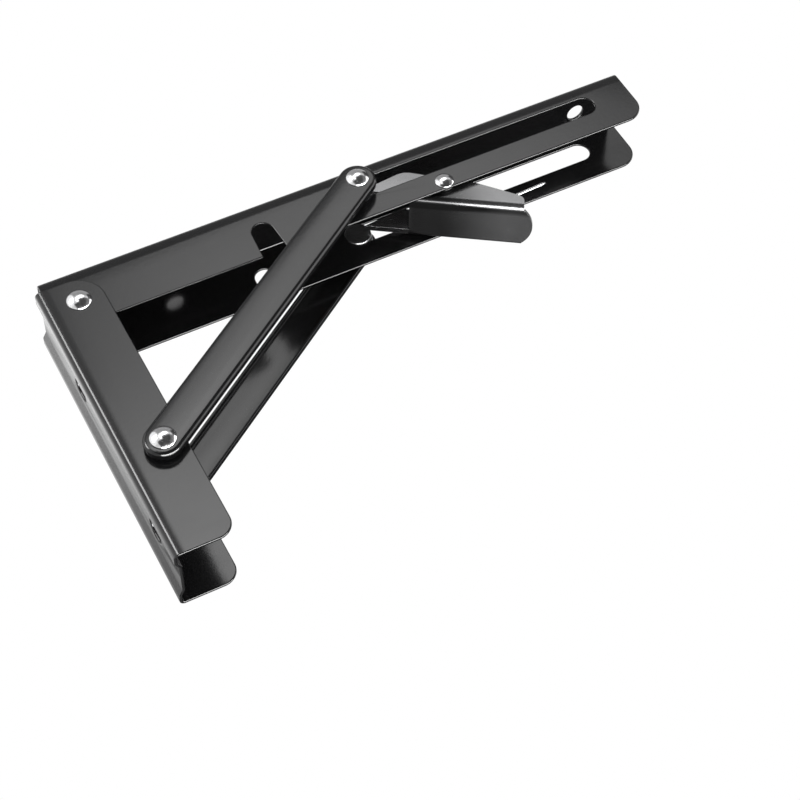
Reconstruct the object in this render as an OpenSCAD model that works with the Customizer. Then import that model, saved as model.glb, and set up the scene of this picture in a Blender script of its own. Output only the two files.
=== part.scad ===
// A folding shelf bracket, open and locked, screwed to a wall.
// X points out of the wall, Y lies across the bracket and Z points up. The origin is the
// middle of the wall screw pattern, on the outer face of the web that the screws hold.
// The near side, which carries the plain end of the latch pin, is -Y.

/* [Sheet] */
// Thickness of the pressed sheet of both arms
sheet_t = 1.5; // [1.2:0.1:2]
// Outer radius of the bends of both arms
bend_r = 2.5; // [2.2:0.1:4]

/* [Wall arm] */
// Length of the wall arm
wall_arm_len = 155; // [150:1:200]
// Width of the wall arm over its flanges
wall_arm_w = 37; // [34:0.5:48]
// Depth of the wall arm from the wall to the free edges of its flanges
wall_arm_depth = 28.5; // [27:0.5:32]
// Radius of the upper free corners of the wall arm's flanges
wall_top_round = 13.5; // [8:0.5:16]
// Radius of the lower free corners of the wall arm's flanges
wall_foot_round = 8; // [3:0.5:12]
// Depth of the long recess pressed into the wall arm's web
recess_depth = 1.8; // [0.5:0.1:2]
// Width of the flat floor of that recess
recess_floor_w = 17; // [14:0.5:18]
// Width of each slope between the recess floor and the web's outer bands
recess_slope_w = 3.5; // [2:0.5:4]

/* [Wall screw holes] */
// Distance between the two wall screw holes
wall_screw_spacing = 83; // [70:1:90]
// Width of a wall screw hole
wall_screw_w = 9; // [5:0.5:11]
// Length of a wall screw hole, along the arm
wall_screw_len = 12; // [11.5:0.5:15]
// Height of the fold pivot above the upper wall screw hole
pivot_above_screw = 33; // [28:1:36]

/* [Fold pivot] */
// Distance of the fold pivot from the wall
pivot_from_wall = 16.5; // [16:0.5:18]
// Distance of the fold pivot below the wall arm's upper end
pivot_below_top = 12.3; // [11:0.1:14]
// Radius of the pivot rivets' shanks
pivot_r = 3; // [2.5:0.1:3.5]
// Radius of the pivot rivets' domed heads
pivot_head_r = 5.7; // [5:0.1:6.5]
// Height of the domed heads of the pivot rivets, the wall axle and the brace rivets
dome_h = 3; // [1.5:0.1:3.2]
// Radius of the pivot rivets' closed ends inside the shelf arm
pivot_tail_r = 4.5; // [4:0.1:5.5]
// Height of those closed ends
pivot_tail_h = 1.2; // [0.8:0.1:1.6]

/* [Shelf arm] */
// Length of the shelf arm
shelf_arm_len = 300; // [290:1:400]
// Depth of the shelf arm from its top face to the free edges of its flanges
shelf_arm_depth = 31; // [29:0.5:31]
// Height of the shelf arm's top face above the fold pivot
shelf_top = 19; // [18.5:0.5:21]
// Length of the shelf arm behind the fold pivot
shelf_start = 13.2; // [12:0.1:13.5]
// Radius of the lower corners at the shelf arm's outer end
shelf_end_round = 10; // [4:0.5:14]
// Width of a shelf screw hole across the arm, which is round
shelf_screw_w = 8.5; // [5:0.5:9]
// Distance of the first shelf screw hole from the fold pivot
shelf_screw_first = 50; // [45:1:65]
// Distance between the two shelf screw holes
shelf_screw_spacing = 215.5; // [200:0.5:220]

/* [Slot] */
// Height of the long slots in the shelf arm's flanges
slot_h = 11; // [9:0.5:11.5]
// Height of the slots' middle line above the fold pivot
slot_above_pivot = 5.8; // [5:0.2:6.6]
// Distance of the slots' inner centre from the fold pivot, where the braces lock
slot_first = 140.3; // [138:0.1:142]
// Distance between the slots' two end centres
slot_travel = 121.5; // [119:0.5:124]

/* [Braces] */
// Distance of the braces' wall axle below the fold pivot
axle_below_pivot = 90.3; // [88:0.1:92]
// Distance of the wall axle from the wall
axle_from_wall = 18.5; // [17.5:0.1:19.5]
// Width of a brace, which is also the width of its round ends
brace_w = 17.5; // [17:0.5:19]
// Depth of a brace, a shallow pressed tray, from its outer face to its rim
brace_depth = 4.2; // [4:0.1:5]
// Thickness of a brace's sheet
brace_t = 1.2; // [1:0.1:1.5]
// Outer radius of the bend round a brace
brace_bend_r = 1.8; // [1.6:0.1:3]
// Space between a brace's rim and the wall arm's flange beside it
brace_gap = 1.7; // [1.5:0.1:3]

/* [Wall axle] */
// Radius of the wall axle
axle_r = 3.5; // [3:0.1:3.8]
// Radius of the wall axle's domed heads
axle_head_r = 5.8; // [5:0.1:7]
// Radius of the plain sleeve on the wall axle, inside the wall arm
sleeve_r = 4.5; // [4.3:0.1:4.7]
// Radius of the collars between the braces' faces and the wall arm
collar_r = 5.2; // [4.8:0.1:6]

/* [Slot pins] */
// Radius of the slot pins and of the rivets that hold them to the braces
slot_pin_r = 2.5; // [2:0.1:3]
// Radius of the brace rivets' domed heads
brace_head_r = 5.3; // [4.6:0.1:6]
// Radius of the brace rivets' shoulders, between a brace and its slot bush
shoulder_r = 5; // [4:0.1:6]
// Radius of the slot bushes' collars, between a brace rivet's shoulder and the shelf arm
bush_collar_r = 7; // [6.6:0.1:7.2]
// Radius of the slot pins' flat inner heads
slot_head_r = 6.5; // [6.2:0.1:6.8]
// Thickness of those inner heads
slot_head_t = 0.9; // [0.6:0.1:1]

/* [Latch] */
// Thickness of the latch's sheet
latch_t = 1.5; // [1:0.1:2]
// Outer radius of the latch's bends
latch_bend_r = 3; // [2.2:0.1:3.2]
// Distance of the latch's axle from the fold pivot
latch_from_pivot = 178.9; // [178:0.1:181]
// Distance of the latch's axle below the fold pivot
latch_below_pivot = 7.4; // [7.2:0.1:7.6]
// Radius of the latch's axle
latch_axle_r = 2.5; // [2:0.1:2.6]
// Radius of the domed heads of the latch's axle
latch_head_r = 4.4; // [4:0.1:4.5]
// Height of those heads
latch_head_h = 2; // [1:0.1:2]
// Radius of the washers beside the latch's ears
latch_washer_r = 4.5; // [4:0.1:4.6]
// Space between a latch ear and the shelf arm's flange beside it
latch_side_gap = 1.7; // [1.6:0.1:2.2]
// Slope of the latch's handle below the horizontal, in degrees
handle_slope = 33.4; // [31:0.2:35]
// Distance of the handle's lower face from the latch's axle
handle_below_axle = 9.7; // [9.5:0.1:10.5]
// Reach of the latch's ears past its axle, along the handle
handle_len = 38; // [34:0.5:44]
// Reach of the rounded tongue past the ears
tongue_len = 4.7; // [3:0.1:6]
// Reach of the handle's web inward from the latch's axle
web_inward = 15.3; // [12:0.1:17]
// Radius of the latch's rounded nose, which stands up beside the slot
nose_round = 9.4; // [8.5:0.1:9.6]
// Distance of the nose's round centre from the latch's axle, inward
nose_inward = 16; // [15:0.1:17]
// Height of the nose's round centre above the latch's axle
nose_above = 6.8; // [6.2:0.1:7]

/* [Latch spring] */
// Radius of the spring's wire
wire_r = 0.7; // [0.5:0.05:0.8]
// Number of turns of the spring's coil
spring_turns = 5; // [3:1:6]
// Reach of the spring's long leg past the latch's axle
long_leg = 56.6; // [50:0.1:60]
// Length of the spring's short leg, towards the handle's web
short_leg = 6.3; // [5:0.1:6.5]

/* [Sleeve pin] */
// Radius of the small coloured sleeve inside the shelf arm
soft_sleeve_r = 3.5; // [3:0.1:4]
// Length of that sleeve
soft_sleeve_len = 8; // [6:0.5:12]
// Radius of the pin that carries it
sleeve_pin_r = 1.75; // [1.2:0.05:2]
// Distance of the sleeve from the fold pivot, along the arm
sleeve_from_pivot = 121; // [112:1:122]
// Distance of the sleeve below the fold pivot
sleeve_below_pivot = 5; // [4:0.5:6]

/* [Fits] */
// Play on each side between the shelf arm and the wall arm's flanges
side_play = 0.5; // [0.3:0.05:0.7]
// Radial clearance of a pin that is held fast in its hole
fast_fit = 0.02; // [0.01:0.01:0.05]
// Radial clearance of a pin that turns in its hole
running_fit = 0.05; // [0.03:0.01:0.1]
// Clearance between faces that slide past each other
slide_gap = 0.2; // [0.1:0.05:0.3]
// Clearance of a slot bush inside the slot, above and below
slot_play = 0.2; // [0.1:0.05:0.3]
// Clearance between the wall axle's sleeve and the notches that fold over it
notch_play = 0.7; // [0.5:0.1:1]

/* [Hidden] */
$fn = 96;
through = 200;
over = 1;

// Places across the bracket, as distances from its middle plane
wall_half = wall_arm_w / 2;
shelf_half = wall_half - sheet_t - side_play;
shelf_inner = shelf_half - sheet_t;
brace_rim = wall_half + brace_gap;
brace_outer = brace_rim + brace_depth;
brace_inner = brace_outer - brace_t;
rivet_end = wall_half + slide_gap;
latch_half = shelf_inner - latch_side_gap;

// The fold pivot, the wall axle and the screw holes in the bracket's frame
pivot_x = pivot_from_wall - recess_depth;
pivot_z = pivot_above_screw + wall_screw_spacing / 2;
axle_x = axle_from_wall - recess_depth;
axle_z = pivot_z - axle_below_pivot;

// The arms' ends, seen from the fold pivot
wall_top = pivot_z + pivot_below_top;
shelf_end = shelf_arm_len - shelf_start;
shelf_free = shelf_top - shelf_arm_depth;

// A brace reaches from the wall axle to the slots' inner end
brace_rise = axle_below_pivot + slot_above_pivot;
brace_run = slot_first - (axle_from_wall - pivot_from_wall);
brace_len = norm([brace_run, brace_rise]);
brace_angle = atan2(brace_rise, brace_run);

// Notches in the shelf arm, which fold down over the wall axle's sleeve
notch_r = sleeve_r + notch_play;
notch_at = axle_below_pivot;
notch_up = axle_from_wall - pivot_from_wall;
notch_flare = 1;

// The latch's nose ends just beyond a slot pin of this radius at the slots' inner end
lock_pin_r = 4;
lock_gap = 0.3;
nose_end = slot_first + lock_pin_r + lock_gap - latch_from_pivot;
nose_foot_drop = 4.5;
nose_foot = latch_below_pivot - nose_foot_drop;
nose_tip_drop = 1.7;
nose_tip = nose_above + nose_round - nose_tip_drop;
nose_from = 95;
nose_to = 51;
tongue_inset = 2;
tongue_half = latch_half - tongue_inset;
tongue_r = (tongue_half * tongue_half + tongue_len * tongue_len) / (2 * tongue_len);
// The ears' top edge: two points, each as a share of the handle's length and a height above
// the axle, then the top of the round end, its radius and where it starts, in degrees
ear_mid = [0.4, 3.3];
ear_low = [0.64, 1];
ear_end_top = -1.8;
ear_end_r = 4;
ear_end_from = 75;
arc_steps = 12;
// How far the cut that frees the ears beside the nose goes into them, and how far the web
// runs at full width past the ears' ends
web_trim = 0.1;
nose_reach = norm([nose_end, nose_tip]) + over;

// The spring's coil sits on the latch's axle, against the far ear
coil_gap = 0.3;
coil_r = latch_axle_r + coil_gap + wire_r;
coil_pitch = 1.9 * wire_r;
coil_last = latch_half - latch_t - slide_gap - wire_r;
long_leg_rise = 2.9;
leg_r = 0.95 * wire_r;

// The sleeve pin's inner head
sleeve_head_r = sleeve_pin_r + 0.8;
sleeve_head_t = 0.8;

// Places its children at the fold pivot, at the wall axle, at a slot pin or at the latch's axle
module at_pivot() translate([pivot_x, 0, pivot_z]) children();
module at_axle() translate([axle_x, 0, axle_z]) children();
module at_slot_pin() at_pivot() translate([slot_first, 0, slot_above_pivot]) children();
module at_latch() at_pivot() translate([latch_from_pivot, 0, -latch_below_pivot]) children();
module at_sleeve_pin() at_pivot() translate([sleeve_from_pivot, 0, -sleeve_below_pivot]) children();

// The far side's piece is the near side's, mirrored across the middle plane
module far_side() mirror([0, 1, 0]) children();

// A flat shape drawn in X and Z, given the width w across the bracket
module across(w = through) rotate([90, 0, 0]) linear_extrude(height = w, center = true) children();

// A round bar along Y, from y0 to y1
module bar_y(r, y0, y1) translate([0, y0, 0]) rotate([-90, 0, 0]) cylinder(r = r, h = y1 - y0);

// A ring along Y, from y0 to y1
module ring_y(r, bore_r, y0, y1) {
    difference() {
        bar_y(r, y0, y1);
        bar_y(bore_r, y0 - over, y1 + over);
    }
}

// A domed head that stands on the plane y and points to the near side
module dome_y(r, h, y) {
    ball_r = (r * r + h * h) / (2 * h);
    translate([0, y, 0]) rotate([90, 0, 0]) rotate_extrude() intersection() {
        translate([0, h - ball_r]) circle(r = ball_r);
        square([r, h]);
    }
}

// The outline of a folded channel: its web is at x = 0 and it is open towards +x
module channel_outline(w, depth, r) {
    translate([r, -w / 2]) square([depth - r, w]);
    translate([0, r - w / 2]) square([depth, w - 2 * r]);
    for (side = [-1, 1]) translate([r, side * (w / 2 - r)]) circle(r = r);
}

// The cut face of a folded channel of sheet t, with the outer bend radius r
module channel_section(w, depth, t, r) {
    difference() {
        channel_outline(w, depth, r);
        translate([t, 0]) channel_outline(w - 2 * t, depth, r - t);
    }
}

// The recess of the wall arm's web, as the space between two parallel trapeziums
module recess_shape() {
    low = recess_floor_w / 2;
    high = low + recess_slope_w;
    polygon([[0, -high], [recess_depth, -low], [recess_depth, low], [0, high]]);
}

module wall_arm_section() {
    difference() {
        union() {
            channel_section(wall_arm_w, wall_arm_depth, sheet_t, bend_r);
            translate([sheet_t, 0]) recess_shape();
        }
        recess_shape();
    }
}

// The wall arm's side view: square at the wall, with two round free corners
module wall_arm_side() {
    foot = wall_top - wall_arm_len;
    edge = wall_arm_depth - recess_depth;
    translate([-recess_depth, foot]) square([wall_arm_depth - wall_foot_round, wall_arm_len]);
    translate([edge - wall_foot_round - over, foot + wall_foot_round])
        square([wall_foot_round + over, wall_arm_len - wall_foot_round - wall_top_round]);
    translate([edge - wall_foot_round, foot + wall_foot_round]) circle(r = wall_foot_round);
}

module wall_arm_top_corner() {
    edge = wall_arm_depth - recess_depth;
    difference() {
        translate([edge - wall_top_round, wall_top - wall_top_round]) square(wall_top_round + over);
        translate([edge - wall_top_round, wall_top - wall_top_round]) circle(r = wall_top_round);
    }
}

// A slot along v, of full length len and width w
module slot_shape(w, len) {
    square([w, len - w], center = true);
    for (side = [-1, 1]) translate([0, side * (len - w) / 2]) circle(d = w);
}

module wall_arm() {
    color([0.05, 0.05, 0.055]) difference() {
        intersection() {
            translate([-recess_depth, 0, wall_top - wall_arm_len])
                linear_extrude(height = wall_arm_len) wall_arm_section();
            across() union() {
                wall_arm_side();
                translate([wall_arm_depth - recess_depth - wall_foot_round - over,
                           wall_top - wall_top_round - over])
                    square([wall_foot_round + over, wall_top_round + over]);
            }
        }
        across() wall_arm_top_corner();
        for (side = [-1, 1])
            translate([0, 0, side * wall_screw_spacing / 2])
                rotate([90, 0, 90]) linear_extrude(height = 4 * sheet_t, center = true)
                    slot_shape(wall_screw_w, wall_screw_len);
        at_pivot() bar_y(pivot_r + fast_fit, -through / 2, through / 2);
        at_axle() bar_y(axle_r + fast_fit, -through / 2, through / 2);
    }
}

// The shelf arm's side view from the fold pivot. Its lower inner corner is round about the
// pivot, so that it clears the wall arm's web while it turns.
module shelf_arm_side() {
    translate([-shelf_start, 0]) square([shelf_arm_len, shelf_top]);
    circle(r = shelf_start);
    translate([0, shelf_free]) square([shelf_end - shelf_end_round, shelf_top - shelf_free]);
    translate([0, shelf_free + shelf_end_round])
        square([shelf_end, shelf_top - shelf_free - shelf_end_round]);
    translate([shelf_end - shelf_end_round, shelf_free + shelf_end_round])
        circle(r = shelf_end_round);
}

// The notch that folds over the wall axle's sleeve, open to the free edge
module notch_shape() {
    translate([notch_at, notch_up]) circle(r = notch_r);
    polygon([
        [notch_at - notch_r, notch_up], [notch_at + notch_r, notch_up],
        [notch_at + notch_r + notch_flare, shelf_free - over],
        [notch_at - notch_r - notch_flare, shelf_free - over]
    ]);
}

// The long slot that the slot bushes run in
module long_slot_shape() {
    translate([slot_first, slot_above_pivot - slot_h / 2]) square([slot_travel, slot_h]);
    for (end = [0, slot_travel])
        translate([slot_first + end, slot_above_pivot]) circle(r = slot_h / 2);
}

module shelf_arm() {
    color([0.06, 0.06, 0.065]) at_pivot() difference() {
        intersection() {
            translate([-shelf_start, 0, shelf_top]) rotate([90, 0, 90])
                linear_extrude(height = shelf_arm_len) rotate(-90)
                    channel_section(2 * shelf_half, shelf_arm_depth, sheet_t, bend_r);
            across() shelf_arm_side();
        }
        across() notch_shape();
        across() long_slot_shape();
        bar_y(pivot_r + running_fit, -through / 2, through / 2);
        translate([latch_from_pivot, 0, -latch_below_pivot])
            bar_y(latch_axle_r + fast_fit, -through / 2, through / 2);
        translate([sleeve_from_pivot, 0, -sleeve_below_pivot])
            bar_y(sleeve_pin_r + fast_fit, -through / 2, 0);
        for (step = [0, shelf_screw_spacing])
            translate([shelf_screw_first + step, 0, shelf_top - 2 * sheet_t])
                cylinder(d = shelf_screw_w, h = 4 * sheet_t);
    }
}

// The cut face of a tray that is round at its outer side. It starts at the height from.
module tray_section(w, depth, r, from) {
    translate([-w / 2, from]) square([w, depth - r - from]);
    translate([r - w / 2, from]) square([w - 2 * r, depth - from]);
    for (side = [-1, 1]) translate([side * (w / 2 - r), depth - r]) circle(r = r);
}

// A long tray with round ends, along X, which stands to the near side
module tray(w, depth, r, from) {
    for (end = [0, brace_len])
        translate([end, 0, 0]) rotate([90, 0, 0]) rotate_extrude() intersection() {
            tray_section(w, depth, r, from);
            translate([0, from]) square([w, depth - from]);
        }
    rotate([0, 90, 0]) rotate(180) linear_extrude(height = brace_len)
        tray_section(w, depth, r, from);
}

// A brace from the wall axle to the slot pin, on the near side. It is pressed as a tray, so
// its rim runs all round and points to the wall arm.
module brace() {
    at_axle() rotate([0, -brace_angle, 0]) difference() {
        translate([0, -brace_rim, 0]) difference() {
            tray(brace_w, brace_depth, brace_bend_r, 0);
            tray(brace_w - 2 * brace_t, brace_depth - brace_t, brace_bend_r - brace_t, -over);
        }
        bar_y(axle_r + running_fit, -through / 2, 0);
        translate([brace_len, 0, 0]) bar_y(slot_pin_r + fast_fit, -through / 2, 0);
    }
}

module brace_near() color([0.08, 0.08, 0.085]) brace();
module brace_far() color([0.08, 0.08, 0.085]) far_side() brace();

// A pivot rivet holds one flange of the shelf arm inside one flange of the wall arm
module pivot_rivet() {
    tail = -shelf_inner + slide_gap;
    at_pivot() union() {
        dome_y(pivot_head_r, dome_h, -wall_half);
        bar_y(pivot_r, -wall_half, tail + pivot_tail_h);
        bar_y(pivot_tail_r, tail, tail + pivot_tail_h);
    }
}

module pivot_rivet_near() color([0.8, 0.8, 0.8]) pivot_rivet();
module pivot_rivet_far() color([0.8, 0.8, 0.8]) far_side() pivot_rivet();

// The wall axle runs through both braces and both flanges of the wall arm
module wall_axle() {
    head = brace_outer + slide_gap;
    color([0.8, 0.8, 0.8]) at_axle() union() {
        dome_y(axle_head_r, dome_h, -head);
        bar_y(axle_r, -head, head);
        far_side() dome_y(axle_head_r, dome_h, -head);
    }
}

// The sleeve that keeps the wall arm's flanges apart
module wall_sleeve() {
    reach = wall_half - sheet_t;
    color([0.6, 0.6, 0.6]) at_axle() ring_y(sleeve_r, axle_r + fast_fit, -reach, reach);
}

// A collar that holds a brace off the wall arm
module wall_collar() {
    at_axle() ring_y(collar_r, axle_r + fast_fit, -brace_inner + slide_gap, -wall_half);
}

module wall_collar_near() color([0.5, 0.5, 0.5]) wall_collar();
module wall_collar_far() color([0.5, 0.5, 0.5]) far_side() wall_collar();

// The outer half of the pin that joins a brace to its slot bush. Its shoulder holds the brace
// off the bush.
module brace_rivet() {
    at_slot_pin() union() {
        dome_y(brace_head_r, dome_h, -brace_outer);
        bar_y(slot_pin_r, -brace_outer, -rivet_end);
        bar_y(shoulder_r, -brace_inner, -rivet_end);
    }
}

module brace_rivet_near() color([0.8, 0.8, 0.8]) brace_rivet();
module brace_rivet_far() color([0.8, 0.8, 0.8]) far_side() brace_rivet();

// A bush that runs in the slot: a collar outside the flange and a hub inside the slot
module slot_bush() {
    collar_end = -shelf_half - slide_gap;
    hub_end = -shelf_inner + slide_gap;
    start = -rivet_end + slide_gap;
    at_slot_pin() difference() {
        union() {
            bar_y(bush_collar_r, start, collar_end);
            bar_y(slot_h / 2 - slot_play, start, hub_end);
        }
        bar_y(slot_pin_r + fast_fit, start - over, hub_end + over);
    }
}

module slot_bush_near() color([0.5, 0.5, 0.5]) slot_bush();
module slot_bush_far() color([0.5, 0.5, 0.5]) far_side() slot_bush();

// The inner half of that pin, with a flat head inside the shelf arm
module slot_pin() {
    hub_end = -shelf_inner + slide_gap;
    at_slot_pin() union() {
        bar_y(slot_pin_r, -rivet_end + slide_gap, hub_end);
        bar_y(slot_head_r, hub_end, hub_end + slot_head_t);
    }
}

module slot_pin_near() color([0.8, 0.8, 0.8]) slot_pin();
module slot_pin_far() color([0.8, 0.8, 0.8]) far_side() slot_pin();

// Points of a round stretch about centre c, from one angle to another
function arc(c, r, from, to) =
    [for (i = [0 : arc_steps]) c + r * [cos(from + (to - from) * i / arc_steps),
                                        sin(from + (to - from) * i / arc_steps)]];

// A point given along and above the handle, seen level with the shelf arm
function sloped(p) =
    [p[0] * cos(handle_slope) + p[1] * sin(handle_slope),
     p[1] * cos(handle_slope) - p[0] * sin(handle_slope)];

// The latch's side view from its axle: the nose, level, then the top of the sloped handle, its
// round end, the tongue, and the underside back to the nose
module latch_side() {
    low = -handle_below_axle - over;
    tongue_top = latch_t + web_trim - handle_below_axle;
    ear_end = handle_len - ear_end_r;
    polygon(concat(
        [[nose_end, nose_foot], [nose_end, nose_tip]],
        arc([-nose_inward, nose_above], nose_round, nose_from, nose_to),
        [for (p = [ear_mid, ear_low]) sloped([p[0] * handle_len, p[1]])],
        [for (p = arc([ear_end, ear_end_top - ear_end_r], ear_end_r, ear_end_from, 0)) sloped(p)],
        [sloped([handle_len, tongue_top]), sloped([handle_len + tongue_len + over, tongue_top])],
        [sloped([handle_len + tongue_len + over, low]), sloped([-web_inward, low])]
    ));
}

// The plan of the latch: straight to the ears' ends, then a rounded tongue
module latch_plan() {
    tip = handle_len + tongue_len;
    half = latch_half + over;
    translate([-nose_reach - over, -half])
        square([nose_reach + over + handle_len + web_trim, 2 * half]);
    intersection() {
        translate([tip - tongue_r, 0]) circle(r = tongue_r);
        translate([handle_len - over, -tongue_half])
            square([tongue_len + 2 * over, 2 * tongue_half]);
    }
}

// The latch: two ears joined by a sloped web, with a rounded tongue at its end
module latch() {
    reach = nose_reach + handle_len + tongue_len;
    web_half = latch_half - latch_t + web_trim;
    color([0.12, 0.12, 0.125]) at_latch() difference() {
        intersection() {
            rotate([0, handle_slope, 0]) translate([-nose_reach, 0, -handle_below_axle])
                rotate([90, 0, 90]) linear_extrude(height = reach) rotate(90)
                    channel_section(2 * latch_half, 4 * handle_below_axle, latch_t, latch_bend_r);
            across() latch_side();
            rotate([0, handle_slope, 0]) linear_extrude(height = through, center = true) latch_plan();
        }
        rotate([0, handle_slope, 0]) translate([-nose_reach - over, -web_half, -handle_below_axle - over])
            cube([nose_reach + over - web_inward, 2 * web_half, latch_bend_r + over + web_trim]);
        bar_y(latch_axle_r + running_fit, -through / 2, through / 2);
    }
}

// The latch's axle runs through both flanges of the shelf arm
module latch_axle() {
    color([0.8, 0.8, 0.8]) at_latch() union() {
        dome_y(latch_head_r, latch_head_h, -shelf_half);
        bar_y(latch_axle_r, -shelf_half, shelf_half);
        far_side() dome_y(latch_head_r, latch_head_h, -shelf_half);
    }
}

// A washer between a latch ear and the shelf arm's flange
module latch_washer() {
    at_latch() ring_y(latch_washer_r, latch_axle_r + fast_fit, -shelf_inner, -latch_half - slide_gap);
}

module latch_washer_near() color([0.6, 0.6, 0.6]) latch_washer();
module latch_washer_far() color([0.6, 0.6, 0.6]) far_side() latch_washer();

// The coil, as close rings of wire, with a long leg along the shelf arm and a short one to the web
module latch_spring() {
    first = coil_last - (spring_turns - 1) * coil_pitch;
    rise = atan2(long_leg_rise, long_leg);
    color([0.8, 0.8, 0.8]) at_latch() union() {
        rotate([90, 0, 0]) rotate_extrude() for (turn = [0 : spring_turns - 1])
            translate([coil_r, turn * coil_pitch - coil_last]) circle(r = wire_r);
        translate([0, coil_last, -coil_r]) rotate([0, 90 - rise, 0]) cylinder(r = leg_r, h = long_leg);
        rotate([0, handle_slope, 0]) translate([coil_r, first, -short_leg])
            cylinder(r = leg_r, h = short_leg);
    }
}

// The pin of the small sleeve is flush with the near flange's outer face
module sleeve_pin() {
    start = -shelf_inner + slide_gap / 2;
    color([0.6, 0.6, 0.6]) at_sleeve_pin() union() {
        bar_y(sleeve_pin_r, -shelf_half, start + soft_sleeve_len);
        bar_y(sleeve_head_r, start + soft_sleeve_len, start + soft_sleeve_len + sleeve_head_t);
    }
}

module soft_sleeve() {
    start = -shelf_inner + slide_gap / 2;
    color([0.55, 0.05, 0.05]) at_sleeve_pin()
        ring_y(soft_sleeve_r, sleeve_pin_r + fast_fit, start, start + soft_sleeve_len);
}

wall_arm();
shelf_arm();
brace_near();
brace_far();
pivot_rivet_near();
pivot_rivet_far();
wall_axle();
wall_sleeve();
wall_collar_near();
wall_collar_far();
brace_rivet_near();
brace_rivet_far();
slot_bush_near();
slot_bush_far();
slot_pin_near();
slot_pin_far();
latch();
latch_axle();
latch_washer_near();
latch_washer_far();
latch_spring();
sleeve_pin();
soft_sleeve();
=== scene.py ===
# %% [markdown]
# # A folding shelf bracket, open and locked
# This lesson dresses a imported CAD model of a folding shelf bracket. The CAD part stays the
# fixed frame: it says where every piece is and how it moves. Here the pressed sheets get
# their softened edges and gloss paint, and the small turned and wound pieces are drawn
# again with the shapes that a lathe and a spring winder give them.

import bpy
import numpy as np
from mathutils import Matrix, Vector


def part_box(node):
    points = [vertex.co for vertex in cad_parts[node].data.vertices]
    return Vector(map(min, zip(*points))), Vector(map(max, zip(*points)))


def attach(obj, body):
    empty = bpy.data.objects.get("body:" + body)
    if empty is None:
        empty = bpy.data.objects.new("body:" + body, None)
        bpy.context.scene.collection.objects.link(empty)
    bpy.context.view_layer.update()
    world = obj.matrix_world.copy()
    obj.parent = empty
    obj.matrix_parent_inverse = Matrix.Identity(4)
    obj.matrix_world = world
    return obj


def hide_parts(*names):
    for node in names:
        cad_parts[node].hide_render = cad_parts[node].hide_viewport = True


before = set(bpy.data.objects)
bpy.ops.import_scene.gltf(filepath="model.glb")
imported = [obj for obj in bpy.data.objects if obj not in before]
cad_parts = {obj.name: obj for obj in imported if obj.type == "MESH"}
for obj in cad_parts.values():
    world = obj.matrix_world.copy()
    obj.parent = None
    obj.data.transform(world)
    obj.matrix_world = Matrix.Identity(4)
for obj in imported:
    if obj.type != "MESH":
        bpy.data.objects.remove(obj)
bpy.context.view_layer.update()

# %% [markdown]
# ## Camera
# The photograph looks up at the near side of the bracket from below, a little from the
# wall. The camera was worked out from the places of the rivets, ends and edges in the
# picture. It is given as a point and three directions: to the right of the picture, down
# the picture and into it. A turn in degrees would do as well, but these come straight out
# of the working.

# %% Camera
CAMERA_AT = np.array([-0.12921, -0.70351, -0.49875])
TO_RIGHT = np.array([0.88853617, -0.00966773, -0.45870471])
DOWNWARD = np.array([-0.35992172, 0.60533680, -0.70994627])
INWARD = np.array([0.28453442, 0.79591073, 0.53438401])
LENS_MM = 90.98
SENSOR_MM = 36.0

camera = bpy.data.objects.new("camera", bpy.data.cameras.new("camera"))
bpy.context.scene.collection.objects.link(camera)
placing = np.eye(4)
placing[:3, 0] = TO_RIGHT
placing[:3, 1] = -DOWNWARD
placing[:3, 2] = -INWARD
placing[:3, 3] = CAMERA_AT
camera.matrix_world = Matrix(placing.tolist())
camera.data.lens = LENS_MM
camera.data.sensor_width = SENSOR_MM
camera.data.clip_start = 0.05
camera.data.clip_end = 50
bpy.context.scene.camera = camera
print("camera at", CAMERA_AT, "with a lens of", LENS_MM, "mm")

# %% [markdown]
# ## Shader sums as plain Python
# A finish changes over a surface: gloss paint has a faint orange peel and cloudy patches,
# and a rivet shows the rings of the tool. Such patterns are sums of noise. Wrapping a
# shader socket in a small class lets those sums be written as they are on paper.


# %% Shader values
class Value:
    """An output socket of a shader node. Sums and products of it add Math nodes."""

    def __init__(self, socket):
        self.socket = socket

    def combine(self, operation, first, second):
        """Adds a Math node for two terms, each a Value or a number."""
        tree = self.socket.id_data
        node = tree.nodes.new("ShaderNodeMath")
        node.operation = operation
        for place, term in enumerate((first, second)):
            if isinstance(term, Value):
                tree.links.new(term.socket, node.inputs[place])
            else:
                node.inputs[place].default_value = term
        return Value(node.outputs[0])

    def __add__(self, other):
        return self.combine("ADD", self, other)

    def __sub__(self, other):
        return self.combine("SUBTRACT", self, other)

    def __rsub__(self, other):
        return self.combine("SUBTRACT", other, self)

    def __mul__(self, other):
        return self.combine("MULTIPLY", self, other)

    __radd__ = __add__
    __rmul__ = __mul__

    def at_least(self, other):
        """The larger of this value and another."""
        return self.combine("MAXIMUM", self, other)

    def at_most(self, other):
        """The smaller of this value and another."""
        return self.combine("MINIMUM", self, other)


print("Value makes a Math node of each sum, difference and product")

# %% [markdown]
# ## Finishes
# A finish is one material: nodes that are wired together and end in a surface. They could
# be added by hand in the shader editor. Here one method adds any node and fills its
# sockets, and the short methods after it are the few patterns that all the finishes below
# share: noise, bands, distances and bumps. Every pattern is laid out on object
# coordinates in metres, so it keeps its real size on each piece.


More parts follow.
